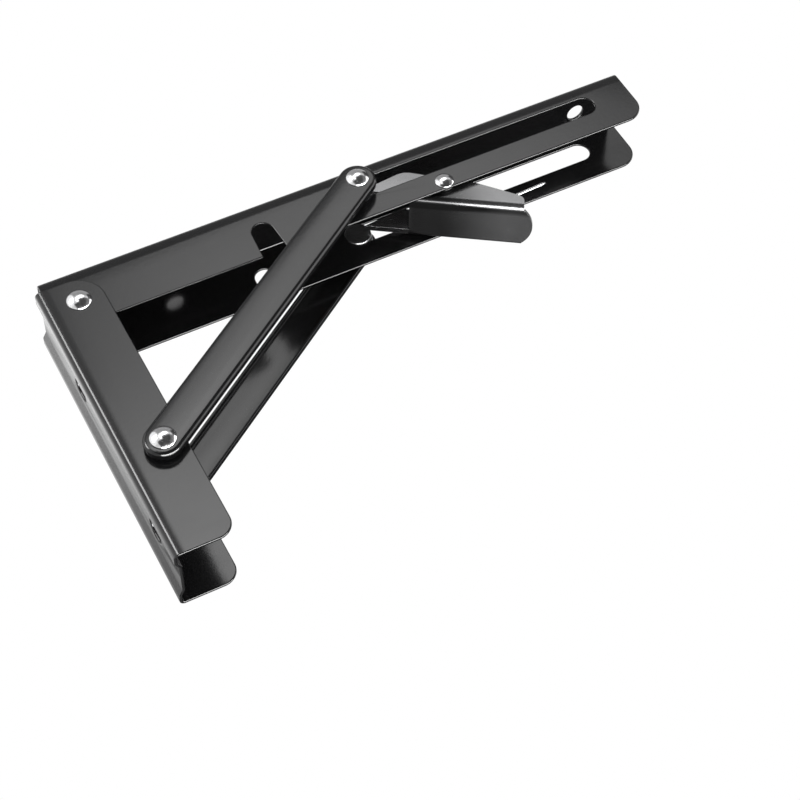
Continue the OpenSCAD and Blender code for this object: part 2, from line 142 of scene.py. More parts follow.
# %% Finishes
class Finish:
    """A material, built from nodes by one method."""

    def __init__(self, name):
        self.material = bpy.data.materials.new(name)
        self.material.use_nodes = True
        self.tree = self.material.node_tree
        self.tree.nodes.clear()

    def node(self, kind, settings=None, inputs=None, out=0):
        """Adds a node of this kind, sets its settings, then fills its sockets."""
        node = self.tree.nodes.new("ShaderNode" + kind)
        for key, value in (settings or {}).items():
            setattr(node, key, value)
        for key, value in (inputs or {}).items():
            if isinstance(value, Value):
                self.tree.links.new(value.socket, node.inputs[key])
            else:
                node.inputs[key].default_value = value
        return Value(node.outputs[out])

    def place(self, stretch=(1, 1, 1), centre=(0, 0, 0)):
        """Object coordinates in metres, measured from a centre and stretched."""
        here = self.node("TexCoord", out=3)
        moved = self.node(
            "VectorMath", {"operation": "SUBTRACT"}, {0: here, 1: centre}
        )
        return self.node("VectorMath", {"operation": "MULTIPLY"}, {0: moved, 1: stretch})

    def noise(self, place, per_metre, detail=2.0):
        """Noise from 0 to 1 with this many features in a metre."""
        return self.node(
            "TexNoise", None, {"Vector": place, "Scale": per_metre, "Detail": detail}
        )

    def band(self, value, low, high):
        """0 up to low, 1 past high, and a smooth slope between."""
        return self.node(
            "MapRange",
            {"interpolation_type": "SMOOTHSTEP"},
            {"Value": value, "From Min": low, "From Max": high},
        )

    def along(self, direction, start=(0, 0, 0)):
        """Distance in metres from a start point, measured along a direction."""
        return self.node(
            "VectorMath",
            {"operation": "DOT_PRODUCT"},
            {0: self.place(centre=start), 1: direction},
            out=1,
        )

    def bump(self, height, depth, strength=1.0, under=None):
        """A normal that is tilted as if the surface were height times depth proud."""
        inputs = {"Height": height, "Distance": depth, "Strength": strength}
        if under is not None:
            inputs["Normal"] = under
        return self.node("Bump", None, inputs)

    def mix(self, share, first, second):
        """A colour between two, by share."""
        return self.node(
            "Mix", {"data_type": "RGBA"}, {0: share, 6: first, 7: second}, out=2
        )

    def surface(self, **inputs):
        """Ends the material in a Principled surface."""
        named = {key.replace("_", " "): value for key, value in inputs.items()}
        return self.end(self.node("BsdfPrincipled", None, named))

    def end(self, shader):
        """Links a shader to the material's surface."""
        output = self.tree.nodes.new("ShaderNodeOutputMaterial")
        self.tree.links.new(shader.socket, output.inputs["Surface"])
        return self.material


print("Finish makes a material of nodes")

# %% [markdown]
# ## Axes
# Every rivet, bush and washer lies on a line along Y, so two numbers, x and z, place it.
# They could be typed in. Read from the box of the CAD node they stay right when the CAD
# model is changed and packed again.


# %% Axes
def axis_of(node):
    """The line along Y on which a round CAD node lies, as (x, z): the box's middle."""
    low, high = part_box(node)
    return (low.x + high.x) / 2, (low.z + high.z) / 2


print("fold pivot at (x, z) =", np.round(axis_of("pivot_rivet_near"), 4))
print("brace axle at (x, z) =", np.round(axis_of("wall_axle"), 4))

# %% [markdown]
# ## Black gloss paint
# Both arms and the braces are steel sheet under a glossy black coat. The coat isn't a
# mirror: it levels out into a faint orange peel about a millimetre and a half across, and
# it is a little more matt in cloudy patches where it was handled. Specks of dust that
# settled in the wet coat are lighter and rougher.
#
# In the photograph the grey of the flat sides fades slowly toward a bend, and across the
# braces, as it does where a pressed sheet isn't quite flat. This swell could be modelled,
# but it is slight, and the CAD model keeps the sheet flat. So only the normals swell here:
# they tilt what the gloss shows, and the outline stays that of the CAD model.

# %% Black gloss paint
BLACK = (0.010, 0.010, 0.0105, 1)
DUSTY = (0.06, 0.06, 0.062, 1)
PEEL_DEPTH, PEEL_STRENGTH = 0.00006, 0.25
GRAIN_DEPTH, GRAIN_STRENGTH = 0.000002, 0.2


def gloss_paint(name, matt, swell_height):
    """Gloss black paint: matt is about its mean roughness, and swell_height a function
    that makes the height of the sheet's slow swell, in metres."""
    paint = Finish(name)
    here = paint.place()
    clouds = paint.noise(here, 38, 3)
    smears = paint.noise(paint.place((0.35, 1, 1)), 160, 2)
    specks = paint.band(paint.noise(here, 2600, 1), 0.74, 0.79)
    rough = matt - 0.05 + clouds * 0.07 + smears * 0.04 + specks * 0.2
    ripples = paint.noise(here, 640, 2)
    grain = paint.noise(here, 5200, 2)
    swell = paint.bump(swell_height(paint), 1.0)
    skin = paint.bump(ripples, PEEL_DEPTH, PEEL_STRENGTH, swell)
    return paint.surface(
        Base_Color=paint.mix(specks * 0.5, BLACK, DUSTY),
        Roughness=rough,
        Normal=paint.bump(grain, GRAIN_DEPTH, GRAIN_STRENGTH, skin),
    )


def pulled(direction, start, radius):
    """Toward a bend a flat side is drawn in by d^2 / 2R, d being the distance past start
    along a direction."""

    def height(paint):
        past = paint.along(direction, start).at_least(0.0)
        return 0 - past * past * (0.5 / radius)

    return height


def crowned(from_axis, to_axis, radius):
    """A brace is proud along the line between two axes, and falls off by q^2 / 2R, q
    being the distance to that line."""
    run_x, run_z = np.subtract(to_axis, from_axis)
    length = np.hypot(run_x, run_z)
    across = (run_z / length, 0, -run_x / length)
    middle = (from_axis[0], 0, from_axis[1])

    def height(paint):
        off = paint.along(across, middle)
        return 0 - off * off * (0.5 / radius)

    return height


ARM_MATT, BRACE_MATT = 0.15, 0.17
WALL_PULL_X, WALL_PULL_R = 0.0048, 0.013
SHELF_PULL_Z, SHELF_PULL_R = 0.087, 0.02
BRACE_CROWN_R = 0.15
wall_swell = pulled((-1, 0, 0), (WALL_PULL_X, 0, 0), WALL_PULL_R)
shelf_swell = pulled((0, 0, 1), (0, 0, SHELF_PULL_Z), SHELF_PULL_R)
brace_swell = crowned(axis_of("wall_axle"), axis_of("brace_rivet_near"), BRACE_CROWN_R)
wall_paint = gloss_paint("black_gloss_wall", ARM_MATT, wall_swell)
shelf_paint = gloss_paint("black_gloss_shelf", ARM_MATT, shelf_swell)
brace_paint = gloss_paint("black_gloss_bars", BRACE_MATT, brace_swell)
print("paints:", wall_paint.name, shelf_paint.name, brace_paint.name)

# %% [markdown]
# ## Dark plated steel of the latch
# The latch looks lighter than the arms where it faces the lamp, and as dark as they are
# where it faces the floor. Paint doesn't do that, but a dark plated metal does, so this
# finish is metallic, with faint marks drawn out along the pressing. In the photograph the
# inner end of its lower plate, between the arm's flanges, and a band on that plate beside
# the near fold look almost black. The cards below don't give that shade, so the shade is
# painted into the colour there. It is painted shade, not a darker plating. Other pieces
# with this finish get the same painted shade where they lie in those places.

# %% Dark plated steel
LATCH_BEND_R = 0.003
FOLD_END_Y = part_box("latch")[0].y + LATCH_BEND_R
# Where painted shade darkens the latch, and the near-black colour of that painted shade.
INNER_END_X = (0.187, 0.215)
PIN_LEVEL_Z = (0.066, 0.072)
BAND_STARTS = (-0.0012, 0.0002)
BAND_STOPS = (0.001, 0.004)
PAINTED_SHADE = (0.02, 0.02, 0.02, 1)
PLATED = (0.155, 0.155, 0.158, 1)
PLATED_LIGHT = (0.23, 0.23, 0.232, 1)


def plated_steel_with_painted_shade():
    """Dark plating: metallic, with fine drawn marks and cloudy patches; painted shade darkens
    its inner end and a band beside its fold.
    """
    plate = Finish("dark_plated_steel_painted_shade")
    marks = plate.noise(plate.place((0.12, 1, 1)), 1500, 3)
    clouds = plate.noise(plate.place(), 60, 3)
    toward_handle = plate.band(plate.along((1, 0, 0)), *INNER_END_X)
    above_pin = plate.band(plate.along((0, 0, 1)), *PIN_LEVEL_Z)
    # Painted shade: near-black on the inner side of x 0.187-0.215 below z 0.066-0.072, and in a
    # band beside the near fold.
    from_fold = plate.along((0, 1, 0), (0, FOLD_END_Y, 0))
    beside_fold = plate.band(from_fold, *BAND_STARTS) * (1 - plate.band(from_fold, *BAND_STOPS))
    inner_end = (1 - toward_handle) * (1 - above_pin)
    painted_shade = (inner_end * 0.9 + beside_fold * 0.75).at_most(1.0)
    return plate.surface(
        Base_Color=plate.mix(painted_shade, plate.mix(clouds, PLATED, PLATED_LIGHT), PAINTED_SHADE),
        Metallic=0.9,
        Roughness=0.17 + clouds * 0.10 + marks * 0.06,
        Normal=plate.bump(marks, 0.000012, 0.5),
    )


latch_plate_with_painted_shade = plated_steel_with_painted_shade()
print("latch finish:", latch_plate_with_painted_shade.name, "with its fold ending at y =", round(FOLD_END_Y, 4))

# %% [markdown]
# ## Bright rivets and plain steel
# A rivet's head is bright plated steel that was rolled round by a spinning tool, so its
# marks run in rings about its own axis. The rings come from the distance to that axis.
# The plain steel of collars and bushes is duller, with the same rings from its lathe. One
# material could serve them all if they shared an axis, but each has its own place, so each
# gets a material of its own with the rings about its own axis.

# %% Turned steel
BRIGHT, WORN_BRIGHT = (0.86, 0.86, 0.87, 1), (0.55, 0.55, 0.56, 1)
GREY, WORN_GREY = (0.50, 0.50, 0.51, 1), (0.33, 0.33, 0.335, 1)
RING_ANGLE = 26000.0


def turned_steel(node, colour, worn, rough, ring_depth):
    """Steel with rings about the axis of a round CAD node: their height is the sine of
    RING_ANGLE times the distance to that axis, bent a little by noise."""
    axis_x, axis_z = axis_of(node)
    steel = Finish(node + "_steel")
    out = steel.place((1, 0, 1), (axis_x, 0, axis_z))
    distance = steel.node("VectorMath", {"operation": "LENGTH"}, {0: out}, out=1)
    phase = distance * RING_ANGLE + steel.noise(out, 300) * 3
    rings = steel.node("Math", {"operation": "SINE"}, {0: phase})
    clouds = steel.noise(steel.place(), 420, 3)
    pits = steel.band(steel.noise(steel.place(), 1500, 1), 0.68, 0.78)
    return steel.surface(
        Base_Color=steel.mix(pits * 0.6 + clouds * 0.25, colour, worn),
        Metallic=1.0,
        Roughness=rough + clouds * 0.10 + pits * 0.2,
        Normal=steel.bump(rings * 0.5 + clouds * 4, ring_depth, 0.6),
    )


def bright_steel(node):
    """Rolled bright plating, for the rivets and axles."""
    return turned_steel(node, BRIGHT, WORN_BRIGHT, rough=0.12, ring_depth=0.0000015)


def grey_steel(node):
    """Plain turned steel, for collars, bushes and the sleeve's pin."""
    return turned_steel(node, GREY, WORN_GREY, rough=0.26, ring_depth=0.000003)


print("bright and grey steel are made for one axis at a time")

# %% [markdown]
# ## Spring wire and the red sleeve
# The wire is drawn steel, bright, with streaks along it. The small sleeve is glossy red
# plastic, a little uneven from moulding. Both are so small in the picture that a plain
# colour would nearly do, but it would look flat from close by, so each gets one noise.


# %% Wire and sleeve
def drawn_wire():
    """Bright wire with fine streaks along X, the way its long leg runs."""
    wire = Finish("drawn_spring_wire")
    streaks = wire.noise(wire.place((0.06, 1, 1)), 4200, 2)
    return wire.surface(
        Base_Color=wire.mix(streaks, (0.80, 0.80, 0.81, 1), (0.52, 0.52, 0.53, 1)),
        Metallic=1.0,
        Roughness=0.22 + streaks * 0.12,
        Normal=wire.bump(streaks, 0.000002, 0.5),
    )


def red_plastic():
    """Glossy moulded plastic with a faint waviness."""
    plastic = Finish("red_gloss_plastic")
    waves = plastic.noise(plastic.place(), 420, 2)
    return plastic.surface(
        Base_Color=plastic.mix(waves, (0.42, 0.008, 0.008, 1), (0.30, 0.004, 0.005, 1)),
        Roughness=0.18 + waves * 0.12,
        Normal=plastic.bump(waves, 0.00004, 0.4),
    )


wire_steel = drawn_wire()
sleeve_red = red_plastic()
print("finishes:", wire_steel.name, sleeve_red.name)

# %% [markdown]
# ## Pressed sheets
# The arms, the braces and the latch are pressed from flat sheet, with punched holes and
# slots. Their shapes and bends are right in the CAD model, but every cut edge there is
# perfectly sharp. A real press leaves a small round and thick paint adds to it, and that
# round is what catches the light as a thin bright line. The sheets could be drawn anew,
# but the CAD shapes are good. So each is copied with its coinciding corners joined, its
# flat parts made whole, and its sharp edges bevelled.

# %% Pressed sheets
FLAT_WITHIN = np.radians(0.6)
SHARP_FROM = np.radians(35)


def joined_copy(node):
    """A CAD node's triangles as arrays, with coinciding corners joined: corners are
    rounded to a micrometre, equal ones get one number, and empty triangles go."""
    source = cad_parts[node].data
    corners = np.empty(len(source.vertices) * 3)
    source.vertices.foreach_get("co", corners)
    order = np.empty(len(source.loops), dtype=int)
    source.loops.foreach_get("vertex_index", order)
    points, number = np.unique(
        np.round(corners.reshape(-1, 3), 6), axis=0, return_inverse=True
    )
    faces = number.reshape(-1)[order].reshape(-1, 3)
    real = (faces != np.roll(faces, 1, axis=1)).all(axis=1)
    return points, faces[real]


def add_piece(name, points, faces, body, slot, material, *stands_for):
    """Makes a mesh piece from arrays, in metres, lets it ride on a CAD body, and lets it
    stand for the CAD nodes it replaces."""
    mesh = bpy.data.meshes.new(name)
    mesh.from_pydata(points.tolist(), [], [list(face) for face in faces])
    mesh.validate()
    mesh.polygons.foreach_set("use_smooth", np.ones(len(mesh.polygons), dtype=bool))
    mesh.materials.append(material)
    piece = bpy.data.objects.new(name, mesh)
    bpy.context.scene.collection.objects.link(piece)
    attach(piece, body)
    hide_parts(*stands_for)
    return piece


def soften(piece, round_m, steps=3):
    """Makes flat parts whole, then rounds every edge that turns by more than SHARP_FROM."""
    flat = piece.modifiers.new("whole flats", "DECIMATE")
    flat.decimate_type = "DISSOLVE"
    flat.angle_limit = FLAT_WITHIN
    bevel = piece.modifiers.new("pressed round", "BEVEL")
    bevel.width = round_m
    bevel.segments = steps
    bevel.limit_method = "ANGLE"
    bevel.angle_limit = SHARP_FROM
    bevel.use_clamp_overlap = False
    bevel.harden_normals = True
    bevel.miter_outer = "MITER_ARC"


def pressed_sheet(name, node, body, slot, material, round_m):
    """A pressed sheet: the CAD node's own shape, joined, with softened edges."""
    points, faces = joined_copy(node)
    piece = add_piece(name, points, faces.tolist(), body, slot, material, node)
    soften(piece, round_m)
    print(name, len(faces), "triangles before its edges are softened")


EDGE_ROUND = 0.0006
BRACE_EDGE_ROUND = 0.00045
LATCH_EDGE_ROUND = 0.00004
pressed_sheet("wall_arm_sheet", "wall_arm", "wall", "black_paint", wall_paint, EDGE_ROUND)
pressed_sheet("shelf_arm_sheet", "shelf_arm", "shelf", "black_paint", shelf_paint, EDGE_ROUND)
pressed_sheet("latch_sheet", "latch", "latch", "dark_plating", latch_plate_with_painted_shade, LATCH_EDGE_ROUND)
for side in ("near", "far"):
    pressed_sheet(
        "brace_tray_" + side, "brace_" + side, "braces", "black_paint", brace_paint,
        BRACE_EDGE_ROUND,
    )

# %% [markdown]
# ## Rounded corners
# No corner of a turned piece is perfectly sharp. A Bevel modifier could round it, but an
# outline of a few points is easier to round before it is carried round: a corner gives way
# to a short curve between two points beside it.


# %% Rounded corners
def rounded(outline, radius, steps=4):
    """Rounds the inner corners of an open outline. Between the points one radius before
    and one after a corner, the curve is (1-t)^2 before + 2t(1-t) corner + t^2 after."""
    corner = outline[1:-1]
    back = outline[:-2] - corner
    ahead = outline[2:] - corner
    back_len = np.linalg.norm(back, axis=1, keepdims=True)
    ahead_len = np.linalg.norm(ahead, axis=1, keepdims=True)
    reach = np.minimum(radius, 0.45 * np.minimum(back_len, ahead_len))
    before = corner + back / back_len * reach
    after = corner + ahead / ahead_len * reach
    t = np.linspace(0, 1, steps)[None, :, None]
    curve = (
        (1 - t) ** 2 * before[:, None]
        + 2 * t * (1 - t) * corner[:, None]
        + t**2 * after[:, None]
    )
    return np.vstack([outline[:1], curve.reshape(-1, 2), outline[-1:]])


square_corner = np.array([[0.0, 0.0], [1.0, 0.0], [1.0, 1.0]])
print("a square corner is rounded into", len(rounded(square_corner, 0.2)) - 2, "points")

# %% [markdown]
# ## Turned pieces
# Rivets, collars, washers and bushes are all turned about a line along Y, so one function
# draws them: an outline of distances along the axis and radii is carried round it. The
# Spin tool does the same, but leaves doubled points and may turn a shape inside out, and
# on a grid both are in hand.

# %% Turned pieces
AROUND = 72


def signed_volume(points, faces):
    """Six times the volume inside the faces, positive where they point outwards: the sum
    of a . (b x c) over the faces, cut into triangles from their first corner."""
    cut = [(f[0], f[i], f[i + 1]) for f in faces for i in range(1, len(f) - 1)]
    a, b, c = points[np.array(cut)].transpose(1, 0, 2)
    return float((a * np.cross(b, c)).sum())


def turned(name, outline, axis, body, slot, material, *stands_for, ring=False):
    """Carries an outline of (along Y, radius) round the axis (x, z): a point is
    (x + r cos a, y, z + r sin a). A ring's outline closes on itself, and any other
    starts and ends on the axis, where it closes in a fan."""
    turn = np.linspace(0, 2 * np.pi, AROUND, endpoint=False)
    rows = outline[:-1] if ring else outline[1:-1]
    y = np.repeat(rows[:, :1], AROUND, axis=1)
    x = axis[0] + rows[:, 1:] * np.cos(turn)
    z = axis[1] + rows[:, 1:] * np.sin(turn)
    points = np.stack([x, y, z], axis=2).reshape(-1, 3)
    grid = np.arange(len(rows) * AROUND).reshape(len(rows), AROUND)
    after = np.roll(grid, -1, axis=1)
    if ring:
        below, below_after = np.roll(grid, -1, axis=0), np.roll(after, -1, axis=0)
    else:
        grid_all, after_all = grid, after
        grid, after = grid[:-1], after[:-1]
        below, below_after = grid_all[1:], after_all[1:]
    faces = np.stack([grid, after, below_after, below], axis=2).reshape(-1, 4).tolist()
    if not ring:
        ends = outline[[0, -1], :1]
        caps = np.column_stack([np.full(2, axis[0]), ends[:, 0], np.full(2, axis[1])])
        first, last = len(points), len(points) + 1
        points = np.vstack([points, caps])
        start = np.column_stack([np.full(AROUND, first), after_all[0], grid_all[0]])
        stop = np.column_stack([np.full(AROUND, last), grid_all[-1], after_all[-1]])
        faces += start.tolist() + stop.tolist()
    if signed_volume(points, faces) < 0:
        faces = [face[::-1] for face in faces]
    add_piece(name, points, faces, body, slot, material, *stands_for)


print("turned pieces have", AROUND, "sides")

# %% [markdown]
# ## Rivet heads
# The tool that closes a rivet rolls its head into a dome, close to a part of a ball but a
# little fuller at the rim. A UV sphere could be cut to it, but powers of the radius give
# the fuller rim as well.

# %% Rivet heads
RIM_SHARE = 0.12


def head_outline(base, height, radius, way, steps=28):
    """A rolled rivet head on the plane y = base, standing to way (-1 or 1). Its side rises
    in a short upright rim of height e, and above it the top is a dome, with
    y = e + (h - e) (1 - (r/R)^2.1)^0.85 for a head h high and R in radius."""
    r = radius * np.cos(np.linspace(np.pi / 2, 0.03, steps))
    rim = RIM_SHARE * height
    y = rim + (height - rim) * (1 - (r / radius) ** 2.1) ** 0.85
    dome = np.column_stack([base + way * y, r])
    foot = np.array([[base + way * rim * 0.4, radius], [base, radius * 0.985]])
    return np.vstack([dome, foot])


print("a rivet head has", len(head_outline(0, 1, 1, 1)), "points from its top to its foot")

# %% [markdown]
# ## Rivets and axles
# Four kinds of rivet show: two at the fold pivot, one at the outer end of each brace, and
# the axles of the braces and of the latch, which have a head at each end. The CAD solids
# could stay, but their heads don't have the rolled shape. Each new one keeps the place and
# size of its solid, read from its box, so that it sits in its hole.

# %% Rivets and axles
SHANK_R = {"pivot": 0.003, "wall_axle": 0.0035, "brace_rivet": 0.0025, "latch_axle": 0.0025}
RIVET_ROUND = 0.00018
DOME_H = 0.003
LATCH_DOME_H = 0.002
PIVOT_TAIL_R, PIVOT_TAIL_H = 0.0045, 0.0012
BRACE_TAIL_R = 0.005
BRACE_SHEET = 0.0012
TAIL_TAPER = 0.96


def head_radius(node):
    """Half the height of a round CAD node's box."""
    low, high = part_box(node)
    return (high.z - low.z) / 2


def one_headed(name, node, body, shank_r, dome_h, tail_r, tail_h):
    """A rivet with its dome on the outer side and a wider flat end, tail_h thick."""
    low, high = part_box(node)
    way = 1 if low.y + high.y > 0 else -1
    outer, inner = (high.y, low.y) if way > 0 else (low.y, high.y)
    head = head_outline(outer - way * dome_h, dome_h, head_radius(node), way)
    shoulder = inner + way * tail_h
    tail = [
        [outer - way * dome_h, shank_r], [shoulder, shank_r], [shoulder, tail_r],
        [inner, tail_r * TAIL_TAPER], [inner, 0.0],
    ]
    outline = rounded(np.vstack([head, tail]), RIVET_ROUND)
    turned(name, outline, axis_of(node), body, "bright_rivet", bright_steel(node), node)


def two_headed(name, node, body, shank_r, dome_h):
    """An axle with a dome at each end."""
    low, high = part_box(node)
    near = head_outline(low.y + dome_h, dome_h, head_radius(node), -1)
    far = head_outline(high.y - dome_h, dome_h, head_radius(node), 1)[::-1]
    shank = [[low.y + dome_h, shank_r], [high.y - dome_h, shank_r]]
    outline = rounded(np.vstack([near, shank, far]), RIVET_ROUND)
    turned(name, outline, axis_of(node), body, "bright_rivet", bright_steel(node), node)


tray_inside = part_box("brace_far")[1].y - BRACE_SHEET
brace_tail_h = tray_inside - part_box("brace_rivet_far")[0].y
for side in ("near", "far"):
    one_headed(
        "pivot_rivet_head_" + side, "pivot_rivet_" + side, "wall",
        SHANK_R["pivot"], DOME_H, PIVOT_TAIL_R, PIVOT_TAIL_H,
    )
    one_headed(
        "brace_rivet_head_" + side, "brace_rivet_" + side, "braces",
        SHANK_R["brace_rivet"], DOME_H, BRACE_TAIL_R, brace_tail_h,
    )
two_headed("brace_axle", "wall_axle", "wall", SHANK_R["wall_axle"], DOME_H)
two_headed("latch_pin", "latch_axle", "shelf", SHANK_R["latch_axle"], LATCH_DOME_H)
print("4 rivets and 2 axles, brace tails", round(brace_tail_h * 1000, 2), "mm thick")

# %% [markdown]
# ## Collars, washers, bushes and sleeves
# These are plain rings between the moving sheets. A ring's outline is a closed rectangle
# with small rounds, and a bush has a step in it, because a wide collar lies on the arm and
# a narrower hub fills the slot. The slot pins are solid: a shank with a flat head inside
# the arm. A Solidify wall on a tube would give the plain rings, but not the step.

# %% Rings and slot pins
AXLE_BORE = 0.00352
PIN_BORE = 0.00252
SLEEVE_BORE = 0.00177
SLEEVE_GROOVE = 0.0005
RING_ROUND = 0.00022
SLOT_ROUND = 0.0002
COLLAR_END_Y = 0.0167
HUB_R = 0.0053
PIN_HEAD_T = 0.0009
GROOVE_SHARE = 0.08


def ring_piece(name, node, body, bore_r, slot="grey_steel", material=None, groove=0.0):
    """A ring with the CAD node's length and outer radius, round a bore, and if groove is
    given, with a shallow groove of that depth round its middle."""
    low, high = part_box(node)
    outer = head_radius(node)
    mid = (low.y + high.y) / 2
    path = [[mid, bore_r], [low.y, bore_r], [low.y, outer]]
    if groove:
        wide = (high.y - low.y) * GROOVE_SHARE
        path += [[mid - wide, outer], [mid - wide, outer - groove]]
        path += [[mid + wide, outer - groove], [mid + wide, outer]]
    path += [[high.y, outer], [high.y, bore_r], [mid, bore_r]]
    steel = material or grey_steel(node)
    outline = rounded(np.array(path), RING_ROUND)
    turned(name, outline, axis_of(node), body, slot, steel, node, ring=True)


ring_piece("spacer_tube", "wall_sleeve", "wall", AXLE_BORE)
for side in ("near", "far"):
    ring_piece("wall_collar_ring_" + side, "wall_collar_" + side, "wall", AXLE_BORE)
    # Painted shade: the washers, in the grey steel slot, take the latch's dark plating so they
    # look as dark as the shade they sit in.
    ring_piece(
        "latch_washer_ring_" + side, "latch_washer_" + side, "shelf", PIN_BORE,
        material=latch_plate_with_painted_shade,
    )
ring_piece(
    "red_sleeve", "soft_sleeve", "shelf", SLEEVE_BORE, "red_sleeve", sleeve_red,
    groove=SLEEVE_GROOVE,
)


def slot_bush(side, way):
    """A bush in the slot: a wide collar outside the flange and a hub that fills the slot."""
    node = "slot_bush_" + side
    low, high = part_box(node)
    outer, inner = (high.y, low.y) if way > 0 else (low.y, high.y)
    collar_end = way * COLLAR_END_Y
    collar_r = head_radius(node)
    mid = (outer + inner) / 2
    path = [
        [mid, PIN_BORE], [outer, PIN_BORE], [outer, collar_r], [collar_end, collar_r],
        [collar_end, HUB_R], [inner, HUB_R], [inner, PIN_BORE], [mid, PIN_BORE],
    ]
    outline = rounded(np.array(path), SLOT_ROUND)
    turned(
        "slot_bush_ring_" + side, outline, axis_of(node), "slider", "grey_steel",
        grey_steel(node), node, ring=True,
    )


def slot_pin(side, way):
    """The inner end of the pin in the slot, with its flat head inside the arm."""
    node = "slot_pin_" + side
    low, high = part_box(node)
    outer, inner = (high.y, low.y) if way > 0 else (low.y, high.y)
    shoulder = inner + way * PIN_HEAD_T
    head_r, shank_r = head_radius(node), SHANK_R["brace_rivet"]
    path = [
        [outer, 0], [outer, shank_r], [shoulder, shank_r], [shoulder, head_r],
        [inner, head_r * TAIL_TAPER], [inner, 0],
    ]
    outline = rounded(np.array(path), SLOT_ROUND)
    turned(
        "slot_pin_head_" + side, outline, axis_of(node), "slider", "dark_plating",
        latch_plate_with_painted_shade, node,
    )


for side, way in (("near", -1), ("far", 1)):
    slot_bush(side, way)
    slot_pin(side, way)
print("rings, bushes and slot pins stand in the places of their solids")

# %% [markdown]
# ## The latch's spring
# The CAD model has the coil as close rings. A wound spring is one wire: a short leg that
# pushes on the latch, a coil round the latch's pin, and a long leg that lies along the
# shelf arm. A Blender curve with a round bevel would give the wire too. Worked out as one
# path, the legs leave the coil in its own direction, without a kink, and a circle is then
# carried along the path.

# %% Latch spring
WIRE_R = 0.00068
WIRE_END = 0.55
COIL_R = 0.0035
COIL_TURNS = 4
COIL_NEAR_Y, COIL_FAR_Y = 0.00562, 0.0109
HANDLE_SLOPE = np.radians(33.4)
SHORT_LEG = 0.006
LONG_LEG = 0.0558
LONG_LEG_RISE = 0.0512


def wire_along(path, radius, around=14):
    """Carries a circle along a path: a point is p + r (n cos a + b sin a), where n is as
    near to the Y axis as the path's direction allows, and b is square to both. At the two
    ends r is smaller, as if the cut wire were rounded there."""
    ahead = np.gradient(path, axis=0)
    ahead /= np.linalg.norm(ahead, axis=1, keepdims=True)
    across = np.array([0.0, 1.0, 0.0]) - ahead * ahead[:, 1:2]
    across /= np.linalg.norm(across, axis=1, keepdims=True)
    up = np.cross(ahead, across)
    turn = np.linspace(0, 2 * np.pi, around, endpoint=False)[None, :, None]
    shrink = np.ones(len(path))
    shrink[[0, -1]] = WIRE_END
    circle = across[:, None] * np.cos(turn) + up[:, None] * np.sin(turn)
    points = path[:, None] + radius * shrink[:, None, None] * circle
    grid = np.arange(len(path) * around).reshape(len(path), around)
    after = np.roll(grid, -1, axis=1)
    sides = np.stack([grid[:-1], after[:-1], after[1:], grid[1:]], axis=2)
    faces = sides.reshape(-1, 4).tolist() + [grid[0].tolist()[::-1], grid[-1].tolist()]
    points = points.reshape(-1, 3)
    if signed_volume(points, faces) < 0:
        faces = [face[::-1] for face in faces]
    return points, faces


def spring_path():
    """Short leg, coil and long leg in one line of points, measured from the latch's pin.
    On the coil the point is (R cos a, y, R sin a), and y grows evenly with the angle a."""
    start, stop = -HANDLE_SLOPE, 2 * np.pi * COIL_TURNS - np.pi / 2
    a = np.linspace(start, stop, 40 * COIL_TURNS)
    y = COIL_NEAR_Y + (COIL_FAR_Y - COIL_NEAR_Y) * (a - start) / (stop - start)
    coil = np.column_stack([COIL_R * np.cos(a), y, COIL_R * np.sin(a)])
    down = np.array([-np.sin(HANDLE_SLOPE), 0, -np.cos(HANDLE_SLOPE)])
    reach = np.linspace(SHORT_LEG, 0.0006, 8)[:, None]
    short_leg = coil[0] + down * reach
    out = np.linspace(0.001, LONG_LEG, 40)
    rise = -COIL_R + out * LONG_LEG_RISE
    long_leg = np.column_stack([out, np.full(len(out), COIL_FAR_Y), rise])
    return np.vstack([short_leg, coil, long_leg])


pin_x, pin_z = axis_of("latch_axle")
points, faces = wire_along(spring_path() + np.array([pin_x, 0, pin_z]), WIRE_R)
add_piece(
    "latch_spring_wire", points, faces, "shelf", "spring_wire", wire_steel, "latch_spring"
)
print("spring wire:", len(points), "corners")

# %% [markdown]
# ## The sleeve's pin
# The plain pin of the red sleeve has the right shape in the CAD model, so that solid stays
# and only gets its finish.

# %% Sleeve pin
pin_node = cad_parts["sleeve_pin"]
pin_node.data.materials.clear()
pin_node.data.materials.append(grey_steel("sleeve_pin"))
print("sleeve pin keeps its solid, at (x, z) =", np.round(axis_of("sleeve_pin"), 4))

# %% [markdown]
# ## Floor
# The photograph shows the bracket in the air against white. So it hangs high over a pale
# floor, where its shadow is soft. A floor close below would hide it from this camera, which
# looks up at it. The floor has no gloss, because gloss would show the bright cards that
# stand about the bracket.

# %% Floor
FLOOR_Z = -1.3
FLOOR_HALF = 9.0
floor_mesh = bpy.data.meshes.new("floor")
corners = np.array([(-1, -1), (1, -1), (1, 1), (-1, 1)]) * FLOOR_HALF
floor_mesh.from_pydata([(x, y, FLOOR_Z) for x, y in corners.tolist()], [], [(0, 1, 2, 3)])
floor = bpy.data.objects.new("floor", floor_mesh)
bpy.context.scene.collection.objects.link(floor)
floor_paint = Finish("pale_floor")
tone = floor_paint.noise(floor_paint.place(), 3, 2)
floor_mesh.materials.append(
    floor_paint.surface(
        Base_Color=floor_paint.mix(tone, (0.84, 0.84, 0.84, 1), (0.87, 0.87, 0.87, 1)),
        Roughness=0.9,
        Specular_IOR_Level=0.0,
    )
)
print("floor", -FLOOR_Z, "m below the middle of the wall screws")

# %% [markdown]
# ## World and lamp
# The world is white where the camera or a reflection sees it, and lights the paint a
# little less than that, which keeps black paint black. A strong lamp could light it all,
# but its small bright image would show in the gloss. So one wide soft lamp stands high up,
# lights the upper faces and the floor, and is left out of reflections.

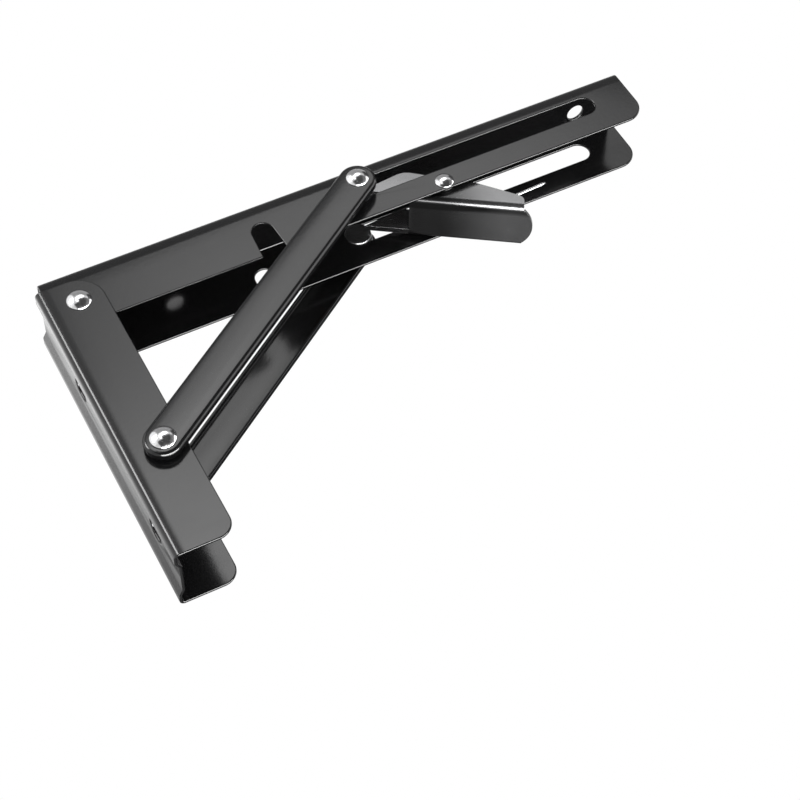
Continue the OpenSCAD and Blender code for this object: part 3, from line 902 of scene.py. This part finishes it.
# %% World and lamp
WORLD_LIGHT = 0.8
world = bpy.data.worlds.new("studio")
bpy.context.scene.world = world
world.use_nodes = True
sky = world.node_tree
sky.nodes.clear()
ray = sky.nodes.new("ShaderNodeLightPath")
seen = Value(ray.outputs["Is Camera Ray"]).at_least(Value(ray.outputs["Is Glossy Ray"]))
white = sky.nodes.new("ShaderNodeBackground")
white.inputs["Color"].default_value = (1, 1, 1, 1)
sky.links.new((seen * (1 - WORLD_LIGHT) + WORLD_LIGHT).socket, white.inputs["Strength"])
sky_out = sky.nodes.new("ShaderNodeOutputWorld")
sky.links.new(white.outputs[0], sky_out.inputs["Surface"])


def soft_lamp(name, at, aim, width, height, watts):
    """A rectangular lamp at a point, turned to face another point."""
    lamp = bpy.data.lights.new(name, "AREA")
    lamp.shape = "RECTANGLE"
    lamp.size = width
    lamp.size_y = height
    lamp.energy = watts
    held = bpy.data.objects.new(name, lamp)
    bpy.context.scene.collection.objects.link(held)
    at, aim = np.array(at, float), np.array(aim, float)
    back = (at - aim) / np.linalg.norm(at - aim)
    side = np.cross([0, 0, 1], back)
    side /= np.linalg.norm(side)
    turn = np.eye(4)
    turn[:3, :3] = np.column_stack([side, np.cross(back, side), back])
    turn[:3, 3] = at
    held.matrix_world = Matrix(turn.tolist())
    held.visible_glossy = False


soft_lamp("high_softbox", (0.2, -0.5, 1.6), (0.1, 0, 0.05), 1.2, 1.2, 16.0)
print("world light", WORLD_LIGHT, "and one lamp")

# %% [markdown]
# ## What the gloss shows
# Black gloss paint has hardly any colour of its own: what one sees of it is the studio
# around it. A product photographer stands soft white boxes and black cards about the
# object, so that flat faces turn grey and bent edges get a bright line beside a dark one.
# Here each is a flat card that only shows in reflections. Its light is a number, or a
# pattern that fades over the card. The cards were placed for the photograph's own camera:
# from level side views the flat sides face a dark card and look almost plain black.

# %% Cards
def card(name, corners, light):
    """A flat card that only shows in reflections. light is how bright it is, or a
    function that makes that with the card's own nodes."""
    mesh = bpy.data.meshes.new(name)
    mesh.from_pydata(corners, [], [(0, 1, 2, 3)])
    held = bpy.data.objects.new(name, mesh)
    bpy.context.scene.collection.objects.link(held)
    glow = Finish(name)
    inputs = {"Color": light(glow)} if callable(light) else {"Strength": light}
    mesh.materials.append(glow.end(glow.node("Emission", None, inputs)))
    held.visible_camera = False
    held.visible_diffuse = False
    held.visible_shadow = False
    print("card:", name)


NEAR_GLOW = 0.7
NEAR_POOLS = [((0.12, 0.38), 3.8), ((0.55, 0.86), 1.8)]
POOL_FULL, POOL_END = 0.15, 0.5
FAR_GLOW, FAR_RISE = 0.12, 1.5
FAR_FROM_Z, FAR_TO_Z = 0.4, 1.25


def near_light(glow):
    """A low glow with two brighter pools about points (x, z) of the card. A pool is full
    up to POOL_FULL from its point, and has faded out at POOL_END."""
    light = NEAR_GLOW
    for (x, z), strength in NEAR_POOLS:
        off = glow.place((1, 0, 1), (x, 0, z))
        away = glow.node("VectorMath", {"operation": "LENGTH"}, {0: off}, out=1)
        light = light + (1 - glow.band(away, POOL_FULL, POOL_END)) * strength
    return light


def far_light(glow):
    """Rises from a faint glow at the foot of the card to a bright one near its top."""
    return FAR_GLOW + glow.band(glow.along((0, 0, 1)), FAR_FROM_Z, FAR_TO_Z) * FAR_RISE


def upright(name, from_xy, to_xy, low, high, light):
    """A card that stands on the line between two points, from one height to another."""
    feet, tops = [(*from_xy, low), (*to_xy, low)], [(*to_xy, high), (*from_xy, high)]
    card(name, feet + tops, light)


def sloping(name, left, right, near_yz, far_yz, light):
    """A card between two values of X that slopes from one (y, z) to another."""
    near, far = [(left, *near_yz), (right, *near_yz)], [(right, *far_yz), (left, *far_yz)]
    card(name, near + far, light)


DARK = 0.02
upright("near_softbox", (-0.8, -1.02), (1.7, -1.02), 0.0, 1.0, near_light)
upright("near_left_strip", (-0.55, -1.04), (-1.15, -0.7), 0.45, 1.1, 12.0)
upright("near_black_card", (-0.05, -1.0), (1.6, -1.0), 0.0, 0.42, 0.04)
upright("near_low_black_card", (-0.8, -1.0), (1.6, -1.0), -0.5, 0.0, 0.04)
sloping("low_black_card", -0.8, 1.6, (-1.0, -0.5), (-0.6, -1.25), DARK)
sloping("low_strip", -0.8, 1.6, (-0.65, -1.25), (0.05, -1.25), 24.0)
sloping("top_near_card", -0.3, 1.7, (-1.0, 1.0), (-0.5, 1.6), 0.3)
sloping("top_card", -0.3, 1.7, (-0.5, 1.6), (0.6, 1.6), 0.35)
upright("far_left_card", (-1.6, 1.2), (-0.05, 1.2), -1.29, 0.1, 0.3)
upright("far_black_card", (-0.05, 1.2), (1.8, 1.2), -1.29, 0.14, DARK)
upright("far_right_card", (0.5, 1.19), (2.2, 1.19), 0.1, 0.5, DARK)
upright("far_card", (-1.2, 1.25), (0.8, 1.25), 0.1, 1.5, far_light)
upright("right_dark_card", (1.7, -0.9), (1.7, 0.9), 0.35, 1.6, 0.05)
upright("right_low_black_card", (0.9, -0.95), (1.3, -0.5), -0.9, 0.3, 0.15)
upright("right_softbox", (1.3, -0.5), (1.7, 0.4), -0.9, 0.3, 2.2)
upright("left_softbox", (-1.2, -0.6), (-1.2, 1.0), 0.2, 1.1, 1.0)

bpy.context.scene.view_settings.view_transform = "Standard"
print("view transform:", bpy.context.scene.view_settings.view_transform)
